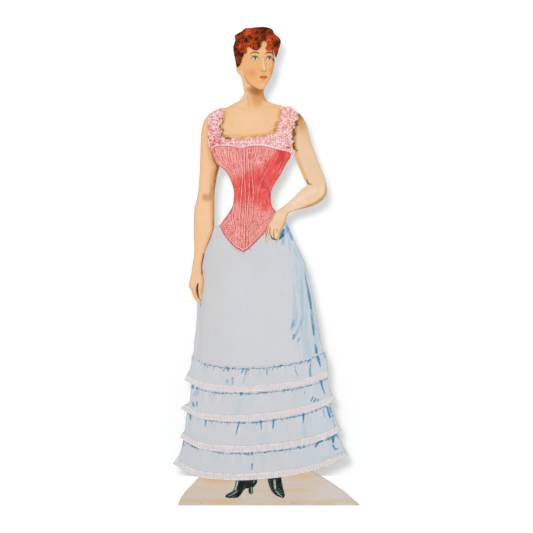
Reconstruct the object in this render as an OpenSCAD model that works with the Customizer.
// Die-cut paper doll on an easel strut: a printed front sheet on card, lined
// behind, with a creased card strut taped to its back.
// X runs to the viewer's right, Z up, and the doll faces -Y.
// Outlines are drawn flat, in X and height along the card, and then stood up.

/* [Card] */
// Thickness of the card board
board_t = 1; // [0.7:0.1:1.8]
// Thickness of the paper lining on the back
lining_t = 0.15; // [0.1:0.05:0.3]
// Thickness of the printed sheet
print_t = 0.25; // [0.15:0.05:0.4]
// Lean of the card from upright, in degrees
lean = 10; // [8:1:14]

/* [Base] */
// Width of the ground the doll stands on
ground_w = 96.4; // [86:0.1:114.5]
// Rise of the ground behind the lowest hem
ground_tuck = 7.9; // [5.7:0.1:11.5]
// Height of the lowest hem above the bottom edge
hem_gap = 13.5; // [10:0.1:17]

/* [Shoes] */
// Length of the shoe seen from the side
side_shoe_l = 16.9; // [13:0.1:20]
// Width of the shoe seen from the front
front_shoe_w = 9.2; // [7:0.1:11.5]
// Height of the toes above the bottom edge
toe_gap = 4; // [2.1:0.1:5.7]
// Gap between the two shoes
shoe_gap = 5.4; // [3.6:0.1:8.5]
// Length of shoe hidden behind the hem
shoe_tuck = 2.1; // [1.4:0.1:3.6]

/* [Petticoat] */
// Width of the lowest hem from tip to tip
hem_w = 92.8; // [82.5:0.1:107.5]
// Height of the petticoat, from the lowest hem to the hip
skirt_h = 136.8; // [125.5:0.1:154]
// Offset of the hem's left tip from the middle of the base
hem_left = 50.9; // [46.5:0.1:57.5]
// Width of a raised fold of cloth
fold_w = 1.3; // [0.8:0.1:2]

/* [Flounces] */
// Height of the pleated edging along each flounce
edging_h = 3.4; // [2.5:0.1:4.3]
// Pitch of the pleats along an edging
pleat_pitch = 1.3; // [1:0.1:3.6]
// Depth of the scallop under each pleat
pleat_depth = 0.2; // [0.1:0.05:0.5]

/* [Corset] */
// Width of the corset across the bust
bust_w = 43; // [36:0.1:50]
// Height of the corset, from its point to the top binding
corset_h = 57; // [50:0.1:66]
// Length of the corset that lies over the petticoat
corset_dip = 15.8; // [11.5:0.1:20]
// Distance from the middle of the base to the busk
busk_offset = 13.8; // [10:0.1:17]
// Width of a raised bone channel
bone_w = 0.7; // [0.4:0.1:1]

/* [Lace] */
// Height of the shoulder straps above the corset
strap_h = 20.1; // [17:0.1:24.5]
// Overhang of the lace past the corset's left edge
lace_left_over = 1.6; // [1.1:0.1:2.9]
// Overhang of the lace past the corset's right edge
lace_right_over = 3.2; // [2.1:0.1:4.3]
// Drop of the lace below the top of the corset
lace_drop = 6.3; // [5:0.1:8]
// Pitch of the scallops along the lace
scallop_pitch = 1.7; // [1.3:0.1:3]
// Depth of a lace scallop
scallop_depth = 0.4; // [0.2:0.05:0.7]
// Diameter of a raised rosette
rosette_d = 2.2; // [1.4:0.1:3]

/* [Arms] */
// Width taken up by the hanging arm
right_arm_w = 16.4; // [13.5:0.1:18.5]
// Length of the hanging arm, from the shoulder to the fingers
right_arm_h = 100.6; // [93:0.1:111.5]
// Reach of the hanging arm outside the corset
right_arm_out = 11.8; // [10:0.1:13.5]
// Width taken up by the bent arm
left_arm_w = 33.4; // [30:0.1:37]
// Height taken up by the bent arm
left_arm_h = 69.3; // [64.5:0.1:77.5]
// Reach of the bent arm's hand in over the corset
hand_reach = 14.6; // [11.5:0.1:16.5]
// Drop of the arms below the top of the straps
arm_drop = 3.4; // [2.1:0.1:4.3]

/* [Head] */
// Width of the face
face_w = 18.2; // [16:0.1:21.5]
// Height of the face, from the chin to the crown
face_h = 29.5; // [26:0.1:33]
// Height of the chin above the straps
neck_h = 8.6; // [6.5:0.1:11.5]
// Width of the neck
neck_w = 10.6; // [8.5:0.1:13]
// Offset of the face from the busk, to the right
face_offset = 7.7; // [4.3:0.1:10]

/* [Hair] */
// Width of the hair
hair_w = 25.2; // [22:0.1:28.5]
// Height of the hair
hair_h = 22.1; // [19.5:0.1:25]
// Height of the hair above the crown
hair_rise = 3.9; // [2.1:0.1:5.7]
// Width of a raised curl
curl_w = 1.3; // [0.8:0.1:2]

/* [Strut] */
// Height of the crease above the bottom edge
crease_h = 132; // [115:1:140]
// Angle between the strut and the card when it stands, in degrees
strut_open = 20; // [16:1:28]
// Thickness of the strut's card
strut_t = 1; // [0.7:0.1:1.8]
// Width of the strut at its crease
strut_top_w = 20; // [16:1:24]
// Width of the strut at its foot
strut_foot_w = 33; // [26:1:42]
// Height of the glued tab above the crease
tab_h = 16; // [12:1:18]
// Height of the arch cut into the foot
foot_arch_h = 5; // [3:0.5:8]
// Width of the arch cut into the foot
foot_arch_w = 17; // [12:1:22]
// Thickness of the hinge cloth
cloth_t = 0.2; // [0.1:0.05:0.3]
// Height of cloth glued on each side of the crease
cloth_h = 8.5; // [6:0.5:10]

/* [Embossing] */
// Height of the printed sheet's raised parts above its flat ground
emboss = 0.4; // [0.2:0.05:0.6]

/* [Hidden] */

// Points drawn between two neighbouring points of an outline
curve_steps = 3;
// Distance that a cutting solid runs past what it cuts
overrun = 4;
// Gap between an edge at the crease and the crease itself
crease_gap = 0.3;

// Where things stand along X
hem_x = -hem_left;
busk_x = -busk_offset;
busk_share = 0.396;
corset_x = busk_x - busk_share * bust_w;
corset_right = corset_x + bust_w;
face_x = busk_x + face_offset;
shoes_share = 0.24;
side_shoe_x = -ground_w * shoes_share;
front_shoe_x = side_shoe_x + side_shoe_l + shoe_gap;

// Where things stand along the card, from its bottom edge
hip_z = hem_gap + skirt_h;
corset_z = hip_z - corset_dip;
corset_top = corset_z + corset_h;
strap_top = corset_top + strap_h;
arm_top = strap_top - arm_drop;
chin_z = strap_top + neck_h;
crown_z = chin_z + face_h;
hair_top = crown_z + hair_rise;

// The pack of card, and where its back lies
pack_t = board_t + lining_t;
seat_y = board_t / cos(lean) / 2;
crease_w = pack_t + strut_t;
crease_y = crease_h * sin(lean) + crease_w * cos(lean) - seat_y;
crease_z = crease_h * cos(lean) - crease_w * sin(lean);
leg_h = crease_z / cos(strut_open - lean);
strut_x = busk_x + face_offset / 2;

// A smooth open run through some points, and the straight mix behind it
function blend_of(a, b, c, d, t) =
    (2 * b + (c - a) * t + (2 * a - 5 * b + 4 * c - d) * t * t
        + (3 * b - a - 3 * c + d) * t * t * t) / 2;
function run(p, steps = curve_steps) = concat(
    [for (i = [0:len(p) - 2], k = [0:steps - 1])
        blend_of(p[max(i - 1, 0)], p[i], p[i + 1], p[min(i + 2, len(p) - 1)], k / steps)],
    [p[len(p) - 1]]);

// A smooth closed run through some points
function ring(p, steps = curve_steps) =
    let (n = len(p))
    [for (i = [0:n - 1], k = [0:steps - 1])
        blend_of(p[(i + n - 1) % n], p[i], p[(i + 1) % n], p[(i + 2) % n], k / steps)];

// Shares of a box turned into places
function fit(shares, at, size) = [for (s = shares) [at.x + s.x * size.x, at.y + s.y * size.y]];
function reversed(p) = [for (i = [len(p) - 1:-1:0]) p[i]];
// The direction square to a line at one of its points
function square_to(line, i) =
    let (d = line[min(len(line) - 1, i + 1)] - line[max(0, i - 1)]) [-d.y, d.x] / norm(d);
// A pressed ridge along a line, full in the middle and drawn to a point at both ends
module ridge_shape(line, w) {
    last = len(line) - 1;
    swell = [for (i = [0:last]) w / 2 * sin(180 * i / last) * square_to(line, i)];
    polygon(concat([for (i = [0:last]) line[i] - swell[i]],
        [for (i = [last - 1:-1:1]) line[i] + swell[i]]));
}

// Length along a run up to each of its points
function along(p) = [for (i = 0, s = 0; i < len(p);
    s = s + (i + 1 < len(p) ? norm(p[i + 1] - p[i]) : 0), i = i + 1) s];

// A run drawn again in even steps, with a bulge to its right at every scallop
function scalloped(p, pitch, depth, cuts = 3) =
    let (s = along(p), total = s[len(s) - 1],
        n = max(2, round(total / pitch)),
        xs = [for (i = [0:len(p) - 1]) [s[i], p[i].x]],
        zs = [for (i = [0:len(p) - 1]) [s[i], p[i].y]],
        near = total / n / cuts)
    [for (k = [0:n * cuts])
        let (d = total * k / n / cuts,
            a = [lookup(max(d - near, 0), xs), lookup(max(d - near, 0), zs)],
            b = [lookup(min(d + near, total), xs), lookup(min(d + near, total), zs)],
            dir = (b - a) / norm(b - a))
        [lookup(d, xs), lookup(d, zs)]
            + [dir.y, -dir.x] * depth * abs(sin(180 * k / cuts))];

// Ground: a low mound with a straight bottom edge
ground_shares = [[0, 0], [0.004, 0.087], [0.015, 0.186], [0.048, 0.385], [0.081, 0.533],
    [0.114, 0.682], [0.174, 0.88], [0.257, 0.967], [0.395, 1], [0.53, 0.98], [0.642, 0.92],
    [0.736, 0.831], [0.829, 0.608], [0.917, 0.335], [0.961, 0.161], [0.989, 0.062], [1, 0]];
module ground_shape() {
    mound = run(fit(ground_shares, [-ground_w / 2, 0], [ground_w, hem_gap + ground_tuck]));
    polygon(concat([[-ground_w / 2, -overrun]], mound, [[ground_w / 2, -overrun]]));
}

// Shoe seen from its side, with a pointed toe and a waisted heel
side_shoe_shares = [[0.98, 1], [1, 0.72], [0.95, 0.6], [0.875, 0.48], [0.865, 0.36], [0.875, 0.22],
    [0.81, 0.17], [0.745, 0.21], [0.725, 0.35], [0.73, 0.44], [0.635, 0.42], [0.56, 0.31],
    [0.48, 0.14], [0.39, 0.02], [0.25, 0], [0.1, 0], [0, 0.05], [0.03, 0.14], [0.13, 0.23],
    [0.24, 0.33], [0.29, 0.5], [0.33, 0.76], [0.36, 1]];
// Shoe seen from in front, narrowing to the toe
front_shoe_shares = [[0.8, 1], [0.82, 0.8], [0.9, 0.5], [0.97, 0.25], [1, 0.1], [0.91, 0],
    [0.68, 0.05], [0.44, 0.14], [0.26, 0.3], [0.12, 0.52], [0.03, 0.78], [0, 1]];
shoe_h = hem_gap + shoe_tuck - toe_gap;
module right_shoe_shape()
    polygon(run(fit(side_shoe_shares, [side_shoe_x, toe_gap], [side_shoe_l, shoe_h])));
module left_shoe_shape()
    polygon(run(fit(front_shoe_shares, [front_shoe_x, toe_gap], [front_shoe_w, shoe_h])));

// Petticoat: its two sides, from the hip down to the first flounce
skirt_at = [hem_x, hem_gap];
skirt_size = [hem_w, skirt_h];
skirt_left_shares = [[0.265, 0.988], [0.228, 0.973], [0.194, 0.93], [0.165, 0.868],
    [0.148, 0.791], [0.14, 0.686], [0.131, 0.582], [0.122, 0.54], [0.12, 0.504], [0.108, 0.472]];
skirt_right_shares = [[0.648, 1], [0.691, 0.934], [0.748, 0.853], [0.78, 0.775],
    [0.803, 0.698], [0.826, 0.62], [0.843, 0.543], [0.857, 0.504], [0.868, 0.484]];
// It ends a little behind the heading of the first flounce
module petticoat_shape() {
    left = spot(skirt_left_shares[len(skirt_left_shares) - 1]);
    right = spot(skirt_right_shares[len(skirt_right_shares) - 1]);
    polygon(concat(run(fit(skirt_left_shares, skirt_at, skirt_size)),
        run(hem_line(left, right, heading_sag_shares[0] * skirt_h)),
        reversed(run(fit(skirt_right_shares, skirt_at, skirt_size)))));
}

// The folds drawn in from the hip, each from its upper end
fold_shares = [
    [[0.751, 0.81], [0.771, 0.756], [0.788, 0.697], [0.803, 0.597], [0.823, 0.488]],
    [[0.72, 0.883], [0.743, 0.814], [0.757, 0.736], [0.76, 0.651]],
    [[0.691, 0.845], [0.714, 0.756], [0.708, 0.678], [0.677, 0.585]],
    [[0.726, 0.736], [0.734, 0.659], [0.72, 0.601], [0.691, 0.55]],
    [[0.623, 0.976], [0.646, 0.945], [0.668, 0.906]],
    [[0.4, 0.845], [0.36, 0.736], [0.337, 0.581]]];

flounces = 4;
// Width of a pleat's ridge, as a share of its pitch
ridge_share = 0.5;
// Each flounce: both ends of its heading, both tips and how far its hem sags
heading_left_shares = [[0.106, 0.483], [0.107, 0.388], [0.085, 0.283], [0.065, 0.171]];
heading_right_shares = [[0.871, 0.498], [0.879, 0.427], [0.903, 0.322], [0.936, 0.214]];
tip_left_shares = [[0.065, 0.389], [0.044, 0.278], [0.04, 0.165], [0, 0.065]];
tip_right_shares = [[0.888, 0.405], [0.928, 0.314], [0.963, 0.194], [1, 0.097]];
sag_shares = [0.054, 0.064, 0.068, 0.078];
heading_sag_shares = [0.05, 0.052, 0.058, 0.066];
// The line of a hem: how far along it, and how much of its sag it has there
hem_shares = [[0, 0], [0.05, 0.3], [0.11, 0.63], [0.18, 0.8], [0.28, 0.93], [0.4, 1],
    [0.55, 0.97], [0.68, 0.88], [0.8, 0.69], [0.88, 0.5], [0.95, 0.26], [1, 0]];
// The sides of each flounce, from the end of its heading to its tip
flare_left_shares = [
    [[0, 0], [0, 0.19], [0.07, 0.39], [0.29, 0.6], [0.64, 0.8], [1, 1]],
    [[0, 0], [0.12, 0.53], [0.21, 0.79], [0.61, 0.88], [1, 1]],
    [[0, 0], [0.25, 0.43], [0.38, 0.75], [0.63, 0.85], [1, 1]],
    [[0, 0], [0.3, 0.51], [0.48, 0.73], [0.74, 0.88], [1, 1]]];
flare_right_shares = [
    [[0, 0], [0.55, 0.3], [0.85, 0.7], [1, 1]],
    [[0, 0], [0.14, 0.35], [0.37, 0.62], [0.6, 0.83], [1, 1]],
    [[0, 0], [0.1, 0.24], [0.29, 0.46], [0.67, 0.82], [1, 1]],
    [[0, 0], [0.11, 0.27], [0.29, 0.44], [0.73, 0.83], [1, 1]]];

function hem_line(a, b, sag, lift = 0) = [for (s = hem_shares)
    a + (b - a) * s.x + [0, lift - sag * s.y]];
function flare(shares, a, b) = run(fit(shares, a, b - a));
function spot(share) = fit([share], skirt_at, skirt_size)[0];
function hem_run(i, lift = 0) =
    run(hem_line(spot(tip_left_shares[i]), spot(tip_right_shares[i]), sag_shares[i] * skirt_h, lift));
function hem_band(low, high, side) = concat([low[0] - side], low,
    [low[len(low) - 1] + side, high[len(high) - 1] + side], reversed(high), [high[0] - side]);
function scalloped_hem(i) = scalloped(hem_run(i), pleat_pitch, pleat_depth);

module flounce_shape(i) {
    left = spot(heading_left_shares[i]);
    right = spot(heading_right_shares[i]);
    heading = run(hem_line(left, right, heading_sag_shares[i] * skirt_h));
    polygon(concat(flare(flare_left_shares[i], left, spot(tip_left_shares[i])), scalloped_hem(i),
        reversed(flare(flare_right_shares[i], right, spot(tip_right_shares[i]))),
        reversed(heading)));
}
// Everything below the line where the edging is sewn on
module edging_band(i)
    polygon(hem_band(hem_run(i, -overrun), hem_run(i, edging_h), [overrun, 0]));
module edging_shape(i)
    intersection() {
        flounce_shape(i);
        edging_band(i);
    }
// One ridge to each pleat, as long as the skirt is high
module pleat_ridges(i)
    for (x = [spot(tip_left_shares[i]).x:pleat_pitch:spot(tip_right_shares[i]).x])
        translate([x, 0]) square([pleat_pitch * ridge_share, hem_gap + skirt_h]);
module flounces_shape(count = flounces)
    for (i = [0:1:count - 1]) flounce_shape(i);

// Corset: top binding, right side, lower edge to the point, and left side
corset_top_shares = [[0, 0.965], [0.062, 0.996], [0.136, 1], [0.235, 0.998], [0.309, 0.987],
    [0.396, 0.972], [0.47, 0.99], [0.55, 1], [0.62, 0.998], [0.704, 0.987], [0.79, 0.968],
    [0.889, 0.949], [1, 0.935]];
corset_right_shares = [[1, 0.935], [0.976, 0.87], [0.926, 0.814], [0.865, 0.721],
    [0.803, 0.65], [0.754, 0.581], [0.741, 0.526], [0.741, 0.47], [0.76, 0.414], [0.815, 0.363]];
corset_hem_shares = [[0.815, 0.363], [0.8, 0.29], [0.754, 0.235], [0.667, 0.172], [0.581, 0.107],
    [0.494, 0.041], [0.445, 0.014], [0.396, 0], [0.309, 0.032], [0.235, 0.088], [0.173, 0.144],
    [0.124, 0.209], [0.105, 0.242]];
corset_left_shares = [[0.105, 0.242], [0.185, 0.321], [0.235, 0.377], [0.272, 0.432],
    [0.284, 0.498], [0.284, 0.572], [0.259, 0.637], [0.222, 0.703], [0.173, 0.758],
    [0.111, 0.79], [0.062, 0.833], [0.025, 0.898], [0, 0.965]];
corset_at = [corset_x, corset_z];
corset_size = [bust_w, corset_h];
module corset_shape()
    polygon(concat(run(fit(corset_top_shares, corset_at, corset_size)),
        run(fit(corset_right_shares, corset_at, corset_size)),
        run(fit(corset_hem_shares, corset_at, corset_size)),
        run(fit(corset_left_shares, corset_at, corset_size))));

// Bone channels: each is a curved line from the binding to the lower edge
bone_shares = [
    [[0.16, 0.96], [0.25, 0.78], [0.33, 0.62], [0.345, 0.5], [0.32, 0.36], [0.22, 0.14]],
    [[0.27, 0.97], [0.33, 0.78], [0.375, 0.62], [0.385, 0.5], [0.37, 0.36], [0.3, 0.06]],
    [[0.375, 0.95], [0.4, 0.78], [0.425, 0.62], [0.425, 0.5], [0.41, 0.36], [0.37, 0.04]],
    [[0.435, 0.95], [0.45, 0.78], [0.46, 0.62], [0.46, 0.5], [0.445, 0.36], [0.425, 0.04]],
    [[0.56, 0.96], [0.54, 0.78], [0.53, 0.62], [0.53, 0.5], [0.53, 0.36], [0.5, 0.08]],
    [[0.68, 0.96], [0.62, 0.78], [0.585, 0.62], [0.58, 0.5], [0.59, 0.36], [0.6, 0.2]],
    [[0.8, 0.94], [0.73, 0.78], [0.65, 0.62], [0.635, 0.5], [0.65, 0.36], [0.7, 0.28]],
    [[0.9, 0.92], [0.82, 0.78], [0.71, 0.62], [0.69, 0.5], [0.7, 0.42], [0.73, 0.36]],
    [[0.766, 0.379], [0.618, 0.323], [0.52, 0.249], [0.446, 0.193]]];
module bone_shape(shares) {
    line = run(fit(shares, corset_at, corset_size));
    half = [bone_w / 2, 0];
    polygon(concat([for (p = line) p - half], reversed([for (p = line) p + half])));
}

// Lace: the inner and outer lines of both straps, with scalloped edges
lace_at = [corset_x - lace_left_over, corset_top - lace_drop];
lace_size = [bust_w + lace_left_over + lace_right_over, lace_drop + strap_h];
lace_outer_left_shares = [[0.022, 0.15], [0.009, 0.28], [0.002, 0.4], [0.006, 0.56],
    [0.011, 0.72], [0.033, 0.84], [0.078, 0.91], [0.133, 0.946], [0.178, 0.97]];
lace_neck_shares = [[0.178, 0.97], [0.172, 0.84], [0.156, 0.72], [0.139, 0.6], [0.15, 0.5],
    [0.139, 0.44], [0.167, 0.38], [0.245, 0.36], [0.334, 0.35], [0.389, 0.33], [0.467, 0.36],
    [0.556, 0.38], [0.645, 0.4], [0.712, 0.44], [0.756, 0.5], [0.779, 0.64], [0.806, 0.73],
    [0.812, 0.87], [0.834, 0.99]];
lace_outer_right_shares = [[0.834, 0.99], [0.912, 0.98], [0.968, 0.92], [0.99, 0.86],
    [0.979, 0.74], [0.957, 0.66], [0.934, 0.54], [0.94, 0.46], [0.918, 0.36], [0.93, 0.28],
    [0.922, 0.2], [0.945, 0.12], [0.962, 0.06], [0.945, 0.01]];
lace_hem_shares = [[0.945, 0.01], [0.912, 0.09], [0.834, 0.124], [0.745, 0.16], [0.667, 0.2],
    [0.578, 0.222], [0.5, 0.222], [0.434, 0.2], [0.378, 0.168], [0.311, 0.195], [0.245, 0.215],
    [0.156, 0.222], [0.089, 0.21], [0.022, 0.15]];
// The rosettes worked into the lace
rosette_shares = [[0.102, 0.86], [0.058, 0.704], [0.041, 0.523], [0.058, 0.333], [0.157, 0.3],
    [0.263, 0.315], [0.368, 0.286], [0.479, 0.3], [0.59, 0.323], [0.701, 0.31], [0.812, 0.333],
    [0.906, 0.222], [0.867, 0.523], [0.9, 0.694], [0.878, 0.87]];
module lace_shape()
    polygon(concat(
        scalloped(reversed(run(fit(lace_outer_left_shares, lace_at, lace_size))), scallop_pitch,
            scallop_depth),
        run(fit(reversed(lace_hem_shares), lace_at, lace_size)),
        scalloped(reversed(run(fit(lace_outer_right_shares, lace_at, lace_size))), scallop_pitch,
            scallop_depth),
        scalloped(reversed(run(fit(lace_neck_shares, lace_at, lace_size))), scallop_pitch,
            scallop_depth)));

// Hanging arm, down its outer side and up its inner side
right_arm_shares = [[0.72, 0.998], [0.59, 0.977], [0.494, 0.951], [0.43, 0.909], [0.397, 0.856],
    [0.381, 0.777], [0.365, 0.698], [0.333, 0.619], [0.3, 0.566], [0.236, 0.524],
    [0.187, 0.487], [0.171, 0.424], [0.171, 0.355], [0.187, 0.287], [0.171, 0.234],
    [0.123, 0.192], [0.09, 0.15], [0.042, 0.118], [0.01, 0.086], [0.074, 0.065],
    [0.171, 0.028], [0.268, 0.007], [0.414, 0.002], [0.446, 0.039], [0.478, 0.076],
    [0.494, 0.118], [0.462, 0.16], [0.446, 0.192], [0.494, 0.234], [0.559, 0.276],
    [0.656, 0.313], [0.753, 0.355], [0.817, 0.392], [0.834, 0.461], [0.834, 0.54],
    [0.85, 0.593], [0.898, 0.645], [0.947, 0.687], [0.995, 0.716], [0.96, 0.77],
    [0.87, 0.82], [0.834, 0.9], [0.834, 0.97]];
module right_arm_shape() {
    at = [corset_x - right_arm_out, arm_top - right_arm_h];
    polygon(ring(fit(right_arm_shares, at, [right_arm_w, right_arm_h])));
}

// Bent arm: down its outer side, round the hand on the hip, and up inside the elbow
left_arm_shares = [[0.532, 1], [0.579, 0.98], [0.627, 0.95], [0.675, 0.896], [0.706, 0.835],
    [0.738, 0.774], [0.786, 0.713], [0.833, 0.651], [0.881, 0.59], [0.937, 0.529],
    [0.976, 0.46], [0.992, 0.407], [0.976, 0.361], [0.897, 0.323], [0.802, 0.296],
    [0.675, 0.273], [0.532, 0.258], [0.421, 0.239], [0.373, 0.219], [0.349, 0.185],
    [0.325, 0.147], [0.278, 0.101], [0.24, 0.06], [0.205, 0.012], [0.183, 0.002],
    [0.167, 0.025], [0.119, 0.03], [0.079, 0.078], [0.062, 0.03], [0.035, 0.002],
    [0.016, 0.01], [0.018, 0.05], [0.024, 0.086], [0.056, 0.139], [0.119, 0.185],
    [0.183, 0.239], [0.294, 0.281], [0.405, 0.323], [0.5, 0.368], [0.611, 0.422],
    [0.683, 0.449], [0.627, 0.498], [0.579, 0.552], [0.532, 0.606], [0.5, 0.651],
    [0.468, 0.674], [0.444, 0.712], [0.395, 0.79], [0.389, 0.881], [0.437, 0.957],
    [0.468, 0.99]];
module left_arm_shape() {
    at = [corset_right - hand_reach, arm_top - left_arm_h];
    polygon(ring(fit(left_arm_shares, at, [left_arm_w, left_arm_h])));
}

// Face: an egg drawn by a formula, narrower towards the chin
chin_share = 0.14;
face_step = 8;
egg_from = 160;
egg_to = -62;
function egg(a) = [face_x + face_w / 2 * cos(a) * (1 - chin_share * max(0, -sin(a))),
    chin_z + face_h / 2 * (1 + sin(a))];

// Head and chest: from behind the lace up the neck to the ear, round the face, and down
shoulder_left_shares = [[0.03, 0], [0.03, 0.4], [0.06, 0.62], [0.16, 0.72], [0.21, 0.743],
    [0.284, 0.793], [0.357, 0.845]];
shoulder_right_shares = [[0.691, 0.84], [0.753, 0.8], [0.828, 0.776], [0.89, 0.75],
    [0.96, 0.62], [0.97, 0.4], [0.97, 0]];
neck_left_share = 0.68;
ear_shares = [[0.04, 0.22], [-0.02, 0.28], [-0.1, 0.33], [-0.12, 0.4], [-0.13, 0.5], [-0.09, 0.6]];
module head_and_chest_shape() {
    neck_left = face_x - neck_left_share * neck_w;
    neck_right = neck_left + neck_w;
    nape_z = chin_z - neck_h / 4;
    at = [corset_x, corset_top - lace_drop];
    size = [bust_w, chin_z - at.y];
    polygon(concat(
        run(concat(fit(shoulder_left_shares, at, size), [[neck_left, nape_z], [neck_left, chin_z]],
            fit(ear_shares, [face_x - face_w / 2, chin_z], [face_w, face_h]))),
        [for (a = [egg_from:-face_step:egg_to]) egg(a)],
        run(concat([[neck_right, chin_z], [neck_right, nape_z]],
            fit(shoulder_right_shares, at, size)))));
}

// Hair: the curled outline, then the fringe over the brow
hair_outer_shares = [[0.085, 0.02], [0.06, 0.1], [0.045, 0.19], [0.02, 0.33], [0, 0.49],
    [0.02, 0.6], [0.045, 0.69], [0.03, 0.79], [0.1, 0.845], [0.19, 0.905],
    [0.255, 0.965], [0.37, 0.975], [0.49, 0.992], [0.64, 1], [0.76, 0.976],
    [0.83, 0.93], [0.87, 0.835], [0.955, 0.75], [1, 0.68], [0.99, 0.565],
    [0.957, 0.47], [0.935, 0.35], [0.895, 0.25]];
hair_fringe_shares = [[0.895, 0.25], [0.87, 0.34], [0.84, 0.44], [0.77, 0.43], [0.715, 0.44],
    [0.72, 0.53], [0.74, 0.6], [0.69, 0.66], [0.6, 0.65], [0.57, 0.6], [0.575, 0.53], [0.55, 0.48],
    [0.47, 0.44], [0.41, 0.47], [0.37, 0.53], [0.3, 0.52], [0.255, 0.44], [0.225, 0.34],
    [0.19, 0.25], [0.17, 0.14], [0.12, 0.05], [0.085, 0.02]];
hair_left_share = 0.51;
hair_at = [face_x - hair_left_share * hair_w, hair_top - hair_h];
hair_size = [hair_w, hair_h];
module hair_shape()
    polygon(concat(run(fit(hair_outer_shares, hair_at, hair_size)),
        run(fit(hair_fringe_shares, hair_at, hair_size))));
// The curls that stand up in the hair
curl_shares = [
    [[0.09, 0.4], [0.142, 0.593], [0.289, 0.688], [0.395, 0.617]],
    [[0.247, 0.736], [0.352, 0.88], [0.521, 0.892], [0.605, 0.784]],
    [[0.605, 0.916], [0.752, 0.88], [0.889, 0.712], [0.857, 0.569]],
    [[0.16, 0.2], [0.145, 0.31], [0.18, 0.43]],
    [[0.42, 0.54], [0.46, 0.65], [0.56, 0.73]],
    [[0.8, 0.52], [0.815, 0.63], [0.91, 0.6]]];

// Stands what is drawn flat on its lean, w in front of the board's face
module stood(w, t)
    translate([0, -seat_y, 0]) rotate([90 - lean, 0, 0]) translate([0, 0, w]) linear_extrude(t)
        children();

// A sheet cut along the die line: everything that the front shows, as one outline
module cut_sheet(w, t) {
    stood(w, t) petticoat_shape();
    stood(w, t) corset_shape();
    stood(w, t) lace_shape();
    stood(w, t) head_and_chest_shape();
    stood(w, t) hair_shape();
    stood(w, t) right_arm_shape();
    stood(w, t) left_arm_shape();
    for (i = [0:flounces - 1]) stood(w, t) flounce_shape(i);
    stood(w, t) ground_shape();
}

// Keeps only what is above the floor
module above_floor() {
    reach = hair_top + overrun;
    intersection() {
        children();
        translate([-reach, -reach, 0]) cube(2 * reach);
    }
}

module card_board() {
    above_floor() color("tan") cut_sheet(-board_t, board_t);
}

module back_lining() {
    above_floor() color("linen") cut_sheet(-pack_t, lining_t);
}

// The strut's tab has its top corners cut off
corner_share = 0.25;
module strut_tab() {
    half = strut_top_w / 2;
    color("burlywood") stood(-crease_w, strut_t) translate([strut_x, crease_h])
        polygon([[-half, crease_gap], [half, crease_gap], [half, tab_h * (1 - corner_share)],
            [half * (1 - corner_share), tab_h], [-half * (1 - corner_share), tab_h],
            [-half, tab_h * (1 - corner_share)]]);
}

// Turns the strut about its crease, from flat against the back to open
module from_crease(w, t)
    translate([strut_x, crease_y, crease_z]) rotate([90 - lean + strut_open, 0, 0])
        translate([0, 0, w]) linear_extrude(t) children();

module strut_leg() {
    foot = leg_h + overrun;
    top = strut_top_w / 2;
    bottom = strut_foot_w / 2;
    above_floor() color("burlywood") from_crease(0, strut_t)
        difference() {
            polygon([[-top, -crease_gap], [-bottom, -leg_h], [-bottom, -foot], [bottom, -foot],
                [bottom, -leg_h], [top, -crease_gap]]);
            translate([0, -leg_h]) scale([foot_arch_w / 2, foot_arch_h]) circle(1, $fn = 40);
            translate([-foot_arch_w / 2, -foot - overrun]) square([foot_arch_w, foot + overrun - leg_h]);
        }
}

cloth_w = strut_top_w * (1 - corner_share);
module hinge_cloth_upper()
    color("darkkhaki") stood(-crease_w - cloth_t, cloth_t)
        translate([strut_x - cloth_w / 2, crease_h + crease_gap]) square([cloth_w, cloth_h]);
module hinge_cloth_lower()
    color("darkkhaki") from_crease(-cloth_t, cloth_t)
        translate([-cloth_w / 2, -crease_gap - cloth_h]) square([cloth_w, cloth_h]);

// How far each printed area is pressed up, as a share of the embossing
skirt_share = 0.2;
face_share = 0.4;
flat_share = 0.5;
corset_share = 0.6;
right_arm_share = 0.7;
left_arm_share = 0.9;
edging_share = 1;
hair_share = 1.1;
pleat_share = 1.2;
crest_share = 1.5;

// The printed sheet, area by area; an area in front cuts away what it covers
module printed(share, ink)
    color(ink) stood(0, print_t + emboss * share) children();

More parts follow.
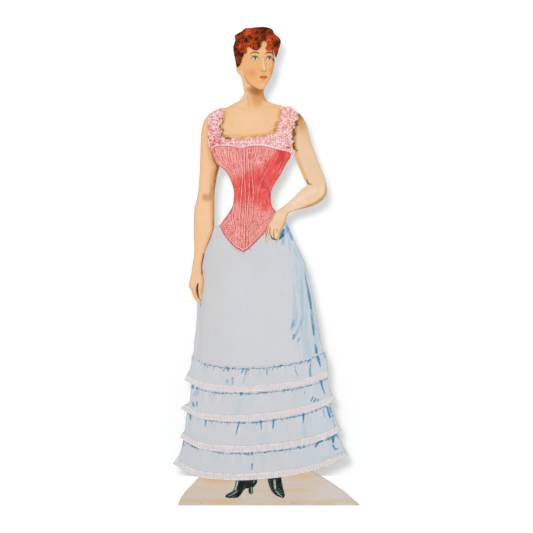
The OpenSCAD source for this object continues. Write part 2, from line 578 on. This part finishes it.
module ground() {
    above_floor() printed(0, "wheat") difference() {
        ground_shape();
        right_shoe_shape();
        left_shoe_shape();
        flounces_shape();
    }
}
module right_shoe() printed(flat_share, "black") difference() {
    right_shoe_shape();
    flounces_shape();
}
module left_shoe() printed(flat_share, "black") difference() {
    left_shoe_shape();
    flounces_shape();
}
module over_petticoat() {
    flounces_shape();
    corset_shape();
    right_arm_shape();
    left_arm_shape();
}
module petticoat() {
    printed(skirt_share, "lightsteelblue") difference() {
        petticoat_shape();
        over_petticoat();
    }
    printed(flat_share, "lightsteelblue") difference() {
        for (shares = fold_shares) ridge_shape(run(fit(shares, skirt_at, skirt_size)), fold_w);
        over_petticoat();
    }
}
module flounce(i) {
    printed(flat_share, "lightblue") difference() {
        flounce_shape(i);
        edging_band(i);
        flounces_shape(i);
    }
}
module edging(i) {
    printed(edging_share, "mistyrose") difference() {
        edging_shape(i);
        flounces_shape(i);
    }
    printed(pleat_share, "mistyrose") difference() {
        intersection() {
            edging_shape(i);
            pleat_ridges(i);
        }
        flounces_shape(i);
    }
}
module corset() {
    printed(corset_share, "indianred") difference() {
        corset_shape();
        lace_shape();
        left_arm_shape();
    }
    printed(edging_share, "indianred") difference() {
        for (shares = bone_shares) bone_shape(shares);
        lace_shape();
        left_arm_shape();
    }
}
module lace_trim() {
    printed(pleat_share, "pink") lace_shape();
    printed(crest_share, "pink") intersection() {
        lace_shape();
        for (p = fit(rosette_shares, lace_at, lace_size)) translate(p) circle(d = rosette_d);
    }
}
module right_arm() {
    printed(right_arm_share, "peachpuff") difference() {
        right_arm_shape();
        lace_shape();
        corset_shape();
    }
}
module left_arm() {
    printed(left_arm_share, "peachpuff") difference() {
        left_arm_shape();
        lace_shape();
    }
}
module head_and_chest() {
    printed(face_share, "navajowhite") difference() {
        head_and_chest_shape();
        hair_shape();
        lace_shape();
        corset_shape();
        right_arm_shape();
        left_arm_shape();
    }
}
module hair() {
    printed(hair_share, "sienna") hair_shape();
    printed(crest_share, "sienna")
        for (shares = curl_shares) ridge_shape(run(fit(shares, hair_at, hair_size)), curl_w);
}

card_board();
back_lining();
strut_tab();
strut_leg();
hinge_cloth_upper();
hinge_cloth_lower();
ground();
right_shoe();
left_shoe();
petticoat();
flounce(0);  // flounce_1
flounce(1);  // flounce_2
flounce(2);  // flounce_3
flounce(3);  // flounce_4
edging(0);  // edging_1
edging(1);  // edging_2
edging(2);  // edging_3
edging(3);  // edging_4
corset();
lace_trim();
right_arm();
left_arm();
head_and_chest();
hair();
